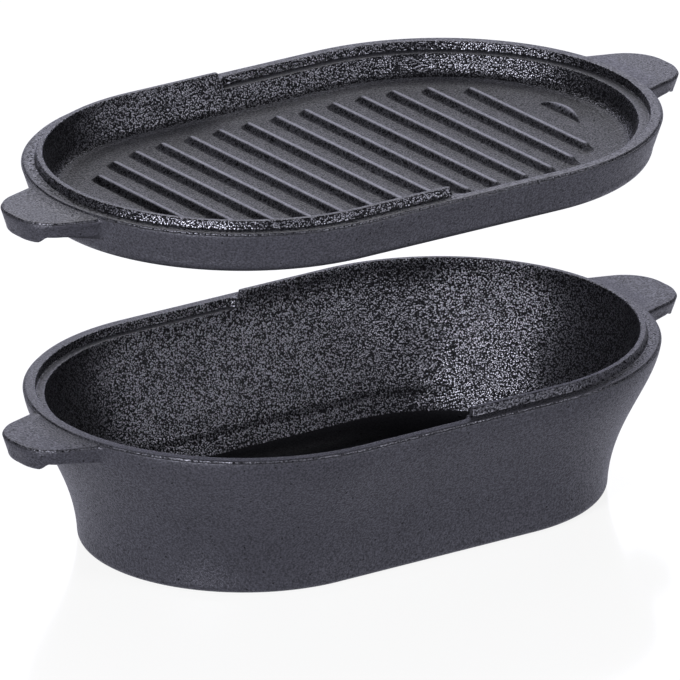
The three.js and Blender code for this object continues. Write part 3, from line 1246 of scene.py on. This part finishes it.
@dataclass
class GriddleRibs:
    """Cooking ribs across the lid's floor, and the crescent boss past the last rib at each end.

    Attributes:
        lid: The lid that they are cast on.
        count: Number of ribs.
        pitch: Distance between ribs.
        rise: Height over the floor.
        base_width: Width at the floor.
        crest_width: Width of the crest.
        end_ramp: Length of the ramp at each end of a rib.
        foot: Power that draws a rib's foot out into a hollow, 1 for an even flank.
        inset: Distance between the ribs' ends and the rim's opening.
        sink: How far the closed underside lies under the floor.
        skirt: How far the foot of a rib dips under the floor.
        crescent_gap: Distance between the last rib and the crescent.
        crescent_depth: Depth of the crescent along X.
        crescent_half: Half its length.
        crescent_ramp: Share of its depth that its slope takes up.
        crescent_edge: Share of its depth over which it falls away at the arc.
        crescent_grid: Points across and along it.
        rib_grid: Points across and along a rib.
        painted_highlight_start: How far from a rib's middle line the painted crest highlight starts, in crest
            widths.
    """

    lid: GriddleLid
    count: int = 14
    pitch: float = 16.8
    rise: float = 3.2
    base_width: float = 9.0
    crest_width: float = 1.4
    end_ramp: float = 9.0
    foot: float = 1.6
    inset: float = 21.0
    sink: float = 1.5
    skirt: float = 0.2
    crescent_gap: float = 14.0
    crescent_depth: float = 5.5
    crescent_half: float = 18.0
    crescent_ramp: float = 0.6
    crescent_edge: float = 0.2
    crescent_grid: tuple[int, int] = (25, 61)
    rib_grid: tuple[int, int] = (25, 34)
    painted_highlight_start: float = 0.9

    def build(self, skin: bpy.types.Material) -> bpy.types.Object:
        """Run the tree that lays the ribs and the crescents, and keep its result as one mesh.

        Args:
            skin: Material of the ribs.

        Returns:
            The finished piece.
        """
        boss = self._crescent()
        holder = new_object("griddle_ribs", np.zeros((0, 3)), [], [])
        sizes = {
            "Count": self.count,
            "Pitch": self.pitch * MM,
            "Rise": (self.rise + self.skirt) * MM,
            "Base Width": self.base_width * MM,
            "Crest Width": self.crest_width * MM,
            "End Ramp": self.end_ramp * MM,
            "Foot": self.foot,
            "Reach": (self.lid.rim.inner - self.inset) * MM,
            "Straight Half": self.lid.plan.straight_half * MM,
            "Floor": (self.lid.base_z + self.lid.bottom - self.skirt) * MM,
            "Sink": self.sink * MM,
            "Crescent": boss,
            "Finish": skin,
        }
        tree = self._tree(sizes)
        modifier = holder.modifiers.new("ribs", "NODES")
        modifier.node_group = tree
        for item in tree.interface.items_tree:
            if item.in_out == "INPUT" and item.name in sizes:
                modifier[item.identifier] = sizes[item.name]
        holder.update_tag()
        settle(holder)
        bpy.data.objects.remove(boss)
        seat(holder, self.lid.body, self.lid.slot, self.lid.node)
        return holder

    def _crescent(self) -> bpy.types.Object:
        """Make the boss of the +X end, which rises from a straight side to a crest on its arc.

        Returns:
            A closed mesh that marks where its crest takes a painted highlight.
        """
        depth, half = self.crescent_depth, self.crescent_half
        radius = (half**2 + depth**2) / (2 * depth)
        chord_x = (self.count - 1) / 2 * self.pitch + self.base_width / 2 + self.crescent_gap
        centre_x = chord_x + depth - radius
        floor = self.lid.base_z + self.lid.bottom - self.skirt
        margin, least_depth = 1.0, 0.01
        xs = np.linspace(chord_x - margin, chord_x + depth + margin, self.crescent_grid[0])
        ys = np.linspace(-half - margin, half + margin, self.crescent_grid[1])
        points: list[tuple[float, float, float]] = []
        wear: list[float] = []
        for x in xs:
            for y in ys:
                to_arc = radius - math.hypot(x - centre_x, y)
                local = max(least_depth, centre_x - chord_x + math.sqrt(radius**2 - y**2))
                slope = smooth_step(0, self.crescent_ramp * local, x - chord_x)
                slope *= math.sqrt(min(1.0, local / depth))
                climb = slope * smooth_step(0, self.crescent_edge * depth, to_arc)
                points.append((x, y, floor + climb * (self.rise + self.skirt)))
                # The crest on the arc is marked for a painted highlight.
                wear.append(climb**3)
        points += [(x, y, floor - self.sink) for x in xs for y in ys]
        boss = new_object("crescent", np.array(points), closed_grid(len(xs), len(ys)), None)
        boss.data.attributes.new(PAINTED_HIGHLIGHT_ATTRIBUTE, "FLOAT", "POINT").data.foreach_set("value", wear + [0.0] * len(wear))
        return boss

    def _tree(self, sizes: dict[str, Any]) -> Tree:
        """Build the node tree of the ribs.

        Args:
            sizes: Names of the tree's inputs and the values that they will take.

        Returns:
            A tree that lays a row of ribs of the right length each, and a crescent at each end.
        """
        tree = bpy.data.node_groups.new("griddle_ribs", "GeometryNodeTree")
        for name, value in sizes.items():
            tree.interface.new_socket(name, in_out="INPUT", socket_type=SOCKET_KINDS[type(value)])
        tree.interface.new_socket("Geometry", in_out="OUTPUT", socket_type="NodeSocketGeometry")
        given = add_node(tree, "NodeGroupInput").outputs
        calc = partial(maths, tree)

        def attribute(name: str) -> Socket:
            """Return a stored number of each point."""
            return add_node(tree, "GeometryNodeInputNamedAttribute", {"Name": name}).outputs[0]

        def store(geometry: Socket, name: str, value: Socket) -> Socket:
            """Store a number with each point, and return the geometry."""
            inputs = {"Geometry": geometry, "Name": name, "Value": value}
            return add_node(tree, "GeometryNodeStoreNamedAttribute", inputs, domain="POINT").outputs[0]

        def vector(*parts: Any) -> Socket:
            """Return the vector of up to three numbers."""
            return add_node(tree, "ShaderNodeCombineXYZ", dict(enumerate(parts))).outputs[0]

        # Posts, one for each rib, that know how long their rib is.
        place = add_node(tree, "GeometryNodeInputPosition").outputs[0]
        split = add_node(tree, "ShaderNodeSeparateXYZ", {0: place}).outputs
        span = calc("MULTIPLY", calc("SUBTRACT", given["Count"], 1.0), given["Pitch"])
        line = {
            "Count": given["Count"],
            "Start Location": vector(calc("MULTIPLY", span, -0.5)),
            "Offset": vector(given["Pitch"]),
        }
        row = add_node(tree, "GeometryNodeMeshLine", line, mode="OFFSET").outputs[0]
        past = calc("MAXIMUM", calc("SUBTRACT", calc("ABSOLUTE", split[0]), given["Straight Half"]), 0.0)
        squares = calc("SUBTRACT", calc("POWER", given["Reach"], 2.0), calc("POWER", past, 2.0))
        posts = store(row, "half_length", calc("SQRT", squares))

        # A square block on each post, whose points remember where they were in it.
        block = {
            "Size": vector(given["Base Width"], given["Base Width"], given["Sink"]),
            "Vertices X": self.rib_grid[0],
            "Vertices Y": self.rib_grid[1],
            "Vertices Z": 2,
        }
        template = add_node(tree, "GeometryNodeMeshCube", block).outputs[0]
        for name, value in (("across", split[0]), ("along", split[1]), ("up", split[2])):
            template = store(template, name, value)
        laid = add_node(tree, "GeometryNodeInstanceOnPoints", {"Points": posts, "Instance": template})
        solid = add_node(tree, "GeometryNodeRealizeInstances", {0: laid.outputs[0]}).outputs[0]

        # The block's top is raised to the rib's section, and its halves are drawn out to the rib's ends.
        across, along = attribute("across"), attribute("along")
        width = calc("MULTIPLY", given["Base Width"], 0.5)
        crest = calc("MULTIPLY", given["Crest Width"], 0.5)
        radius = calc("SQRT", calc("ADD", calc("POWER", across, 2.0), calc("POWER", along, 2.0)))
        climb = ramp(tree, radius, (width, crest), kind="SMOOTHSTEP")
        hollow = calc("POWER", climb, given["Foot"])
        crown = calc("ADD", given["Floor"], calc("MULTIPLY", hollow, given["Rise"]))
        is_top = calc("GREATER_THAN", attribute("up"), 0.0)
        under = calc("SUBTRACT", given["Floor"], given["Sink"])
        level = calc("ADD", under, calc("MULTIPLY", is_top, calc("SUBTRACT", crown, under)))
        reach = calc("SUBTRACT", attribute("half_length"), given["End Ramp"])
        end = calc("MULTIPLY", calc("DIVIDE", along, width), given["End Ramp"])
        new_y = calc("ADD", end, calc("MULTIPLY", calc("SIGN", along), reach))
        # Points near a rib's crest are marked for a painted highlight.
        painted_highlight_share = ramp(tree, radius, (calc("MULTIPLY", given["Crest Width"], self.painted_highlight_start), crest))
        marked = store(solid, PAINTED_HIGHLIGHT_ATTRIBUTE, calc("MULTIPLY", painted_highlight_share, is_top))
        shaped = {"Geometry": marked, "Position": vector(split[0], new_y, level)}
        ribs = add_node(tree, "GeometryNodeSetPosition", shaped).outputs[0]

        # The crescents, and the finish of the whole.
        boss = add_node(tree, "GeometryNodeObjectInfo", {"Object": given["Crescent"]}).outputs["Geometry"]
        turned = add_node(tree, "GeometryNodeTransform", {"Geometry": boss, "Rotation": (0.0, 0.0, math.pi)})
        whole = add_node(tree, "GeometryNodeJoinGeometry")
        for part in (ribs, boss, turned.outputs[0]):
            tree.links.new(part, whole.inputs[0])
        real = add_node(tree, "GeometryNodeRealizeInstances", {0: whole.outputs[0]}).outputs[0]
        dressed = add_node(tree, "GeometryNodeSetMaterial", {"Geometry": real, "Material": given["Finish"]})
        add_node(tree, "NodeGroupOutput", {0: dressed.outputs[0]})
        return tree


def closed_grid(rows: int, columns: int) -> list[tuple[int, ...]]:
    """List the faces of two equal grids of points, one over the other, closed round their edges.

    Args:
        rows: Points along the first way.
        columns: Points along the second way.

    Returns:
        Faces that point outwards, the upper grid's points being numbered first.
    """
    under = rows * columns
    faces: list[tuple[int, ...]] = []
    for i in range(rows - 1):
        for j in range(columns - 1):
            a, b = i * columns + j, (i + 1) * columns + j
            faces.append((a, b, b + 1, a + 1))
            faces.append((under + a, under + a + 1, under + b + 1, under + b))
    border = [i * columns for i in range(rows)]
    border += [(rows - 1) * columns + j for j in range(1, columns)]
    border += [i * columns + columns - 1 for i in range(rows - 2, -1, -1)]
    border += list(range(columns - 2, 0, -1))
    for a, b in zip(border, border[1:] + border[:1]):
        faces.append((b, a, under + a, under + b))
    return faces


def new_object(
    name: str,
    points: np.ndarray,
    faces: Sequence[tuple[int, ...]],
    skins: Sequence[int] | None,
    merge: bool = False,
) -> bpy.types.Object:
    """Make a mesh object at the origin from points in millimetres.

    Args:
        name: Name of the object.
        points: Points in the frame.
        faces: Faces as numbers of points.
        skins: Material slot of each face, or None where there is only one.
        merge: Whether points that fall together are joined.

    Returns:
        The object, linked to the scene.
    """
    mesh = bpy.data.meshes.new(name)
    mesh.from_pydata((points * MM).tolist(), [], faces)
    if skins:
        mesh.polygons.foreach_set("material_index", skins)
    if merge:
        mesh.update()
        weld(mesh)
    obj = bpy.data.objects.new(name, mesh)
    bpy.context.scene.collection.objects.link(obj)
    shade(obj)
    return obj


def weld(mesh: bpy.types.Mesh) -> None:
    """Join the points of a mesh that fall together, and drop the faces that this closes up.

    Args:
        mesh: The mesh, changed in place.
    """
    same_point, no_length = 1e-6, 1e-7
    work = bmesh.new()
    work.from_mesh(mesh)
    bmesh.ops.remove_doubles(work, verts=work.verts, dist=same_point)
    bmesh.ops.dissolve_degenerate(work, edges=work.edges, dist=no_length)
    bmesh.ops.recalc_face_normals(work, faces=work.faces)
    work.to_mesh(mesh)
    work.free()


def shade(obj: bpy.types.Object) -> None:
    """Shade an object's faces smooth."""
    obj.data.polygons.foreach_set("use_smooth", [True] * len(obj.data.polygons))
    obj.data.update()


def settle(obj: bpy.types.Object) -> None:
    """Keep the result of an object's modifiers as its mesh.

    Args:
        obj: The object, left without modifiers.
    """
    mesh = bpy.data.meshes.new_from_object(obj.evaluated_get(bpy.context.evaluated_depsgraph_get()))
    obj.modifiers.clear()
    obj.data = mesh
    shade(obj)


def join(body: bpy.types.Object, others: Sequence[bpy.types.Object]) -> None:
    """Join closed solids into one, as one casting is.

    Args:
        body: Solid that takes the others in.
        others: Solids that reach into it, removed afterwards.
    """
    for other in others:
        modifier = body.modifiers.new("cast_on", "BOOLEAN")
        modifier.operation = "UNION"
        modifier.solver = "MANIFOLD"
        modifier.object = other
    settle(body)
    for other in others:
        bpy.data.objects.remove(other)


def seat(piece: bpy.types.Object, body: str, slot: str, node: str) -> None:
    """Set a piece on its body, in the place of a CAD node, which is hidden.

    Args:
        piece: The finished piece.
        body: Body of the frame that it rides on.
        slot: Material slot of the record; not used.
        node: CAD node that it stands for.
    """
    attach(piece, body)
    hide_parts(node)


@dataclass(frozen=True)
class Softbox:
    """One studio lamp.

    Attributes:
        name: Name of the lamp.
        place: Where it stands, in metres.
        aim: Point that it faces.
        size: Width and height of its face.
        power: Watts.
        tint: Colour of its light.
    """

    name: str
    place: tuple[float, float, float]
    aim: tuple[float, float, float]
    size: tuple[float, float]
    power: float
    tint: str = "#ffffff"

    def build(self) -> None:
        """Make the lamp, unseen by the camera."""
        lamp = bpy.data.lights.new(self.name, "AREA")
        lamp.shape = "RECTANGLE"
        lamp.size, lamp.size_y = self.size
        lamp.energy = self.power
        lamp.color = linear(self.tint)[:3]
        obj = bpy.data.objects.new(self.name, lamp)
        bpy.context.scene.collection.objects.link(obj)
        obj.location = self.place
        obj.visible_camera = False
        way = Vector(self.aim) - Vector(self.place)
        obj.rotation_euler = way.to_track_quat("-Z", "Y").to_euler()


@dataclass(frozen=True)
class Studio:
    """Camera, pale floor and soft light.

    Attributes:
        yaw_deg: How far the camera stands to the left of looking along +Y.
        elevation_deg: How far it looks down.
        distance: Its distance, far enough for the photograph's flat perspective.
        frame_width: Width of the picture at the object, in metres.
        centre_right: Picture's centre from the origin, to the right.
        centre_up: Picture's centre from the origin, upwards in the picture.
        fill: Strength of the world's light.
        floor_half: Half the side of the floor, in metres.
        floor_drop: How far the floor lies under the pot, in millimetres, so that the two don't fight.
        painted_reflection_white: The floor's white as glossy rays see it, cooler than it is, which paints a
            cool cast into the iron's reflections.
        card: The floor's colour where it takes light and shadow.
        card_share: Share of the floor's look that takes shadow.
        gloss_share: Share of it that mirrors the object.
        gloss_roughness: Roughness of that mirror.
        lamps: The softboxes.
    """

    yaw_deg: float = 34.8
    elevation_deg: float = 20.6
    distance: float = 8.0
    frame_width: float = 0.3302
    centre_right: float = -0.0016
    centre_up: float = 0.082
    fill: float = 0.12
    floor_half: float = 13.0
    floor_drop: float = 0.3
    painted_reflection_white: str = "#eeeeff"
    card: str = "#f0f0f2"
    card_share: float = 0.07
    gloss_share: float = 0.08
    gloss_roughness: float = 0.12
    lamps: tuple[Softbox, ...] = (
        Softbox("overhead_softbox", (0.7, 1.0, 1.4), (0, 0, 0.1), (1.6, 0.8), 20),
        Softbox("left_softbox", (-1.45, -0.74, 0.64), (0, 0, 0.08), (0.42, 0.4), 68),
        Softbox("right_softbox", (0.6, -1.4, 0.68), (0, 0, 0.08), (0.7, 0.5), 25),
        Softbox("back_softbox", (0.96, 1.38, 0.7), (0, 0, 0.1), (2.0, 1.1), 10.8, "#e4e4ff"),
    )

    def build(self) -> None:
        """Set up the camera, the world, the floor and the lamps."""
        self._camera()
        self._world()
        self._floor()
        for lamp in self.lamps:
            lamp.build()
        bpy.context.scene.view_settings.view_transform = "Standard"

    def _camera(self) -> None:
        """Put the camera at the photograph's angle, with a long lens."""
        yaw, tilt = math.radians(self.yaw_deg), math.radians(self.elevation_deg)
        right = Vector((math.cos(yaw), -math.sin(yaw), 0))
        up = Vector((math.sin(yaw) * math.sin(tilt), math.cos(yaw) * math.sin(tilt), math.cos(tilt)))
        back = right.cross(up)
        lens = bpy.data.cameras.new("camera")
        lens.sensor_width = 36.0
        lens.lens = lens.sensor_width * self.distance / self.frame_width
        lens.clip_end = 100.0
        camera = bpy.data.objects.new("camera", lens)
        bpy.context.scene.collection.objects.link(camera)
        spot = right * self.centre_right + up * self.centre_up + back * self.distance
        turn = Matrix((right, up, back)).transposed().to_4x4()
        camera.matrix_world = Matrix.Translation(spot) @ turn
        bpy.context.scene.camera = camera

    def _world(self) -> None:
        """Fill the room with soft, dim light."""
        world = bpy.data.worlds.new("dim_room")
        tree = fresh_tree(world)
        sky = add_node(tree, "ShaderNodeBackground", {"Color": (1, 1, 1, 1), "Strength": self.fill})
        add_node(tree, "ShaderNodeOutputWorld", {"Surface": sky.outputs[0]})
        bpy.context.scene.world = world

    def _floor(self) -> None:
        """Lay a white table top that shows a faint shadow and a faint reflection."""
        half, level = self.floor_half / MM, -self.floor_drop
        corners = [(-half, -half, level), (half, -half, level), (half, half, level), (-half, half, level)]
        floor = new_object("floor", np.array(corners), [(0, 1, 2, 3)], None)
        material = bpy.data.materials.new("white_table_top")
        tree = fresh_tree(material)
        rays = add_node(tree, "ShaderNodeLightPath").outputs
        mirrored = maths(tree, "MAXIMUM", rays["Is Camera Ray"], rays["Is Glossy Ray"])
        seen = maths(tree, "MAXIMUM", mirrored, rays["Is Transmission Ray"])
        # Glossy rays see a cooler white, a cool cast painted into the iron's reflections.
        white = mix_colour(tree, rays["Is Glossy Ray"], linear("#ffffff"), linear(self.painted_reflection_white))
        card = add_node(tree, "ShaderNodeBsdfDiffuse", {"Color": linear(self.card)}).outputs[0]
        glow = add_node(tree, "ShaderNodeEmission", {"Color": white, "Strength": 1.0}).outputs[0]
        polish = {"Color": (1, 1, 1, 1), "Roughness": self.gloss_roughness}
        gloss = add_node(tree, "ShaderNodeBsdfGlossy", polish).outputs[0]
        surface = glow
        for share, layer in ((self.card_share, card), (self.gloss_share, gloss)):
            surface = add_node(tree, "ShaderNodeMixShader", {0: share, 1: surface, 2: layer}).outputs[0]
        shown = add_node(tree, "ShaderNodeMixShader", {0: seen, 1: card, 2: surface})
        add_node(tree, "ShaderNodeOutputMaterial", {"Surface": shown.outputs[0]})
        floor.data.materials.append(material)


def main() -> None:
    """Build the studio and the pieces in order."""
    logging.basicConfig(level=logging.INFO, format="%(name)s: %(message)s")
    Studio().build()
    skins = [finish.build() for finish in (SAND_SKIN, PEBBLE_SKIN, GRIDDLE_SKIN, EDGE_AND_SHADE_SKIN, BLACK_SKIN)]
    pot = CasserolePot(
        name="pot_casting",
        body="pot",
        node="casserole_pot",
        slot="pot_iron",
        height=78.0,
        base_z=0.0,
        lip_half=LipHalf.POSITIVE_X,
        lip_skin=Skin.EDGE,
    )
    lid = GriddleLid(
        name="lid_casting",
        body="lid",
        node="griddle_lid",
        slot="lid_iron",
        height=22.0,
        base_z=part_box("griddle_lid")[0].z / MM,
        lip_half=LipHalf.NEGATIVE_X,
        lip_skin=Skin.PEBBLE,
    )
    for casting in (pot, lid):
        piece = casting.build(skins)
        LOG.info("%s: %d faces on body %s", piece.name, len(piece.data.polygons), casting.body)
    ribs = GriddleRibs(lid).build(skins[Skin.GRIDDLE])
    LOG.info("%s: %d faces on body %s", ribs.name, len(ribs.data.polygons), lid.body)


if __name__ == "__main__":
    main()
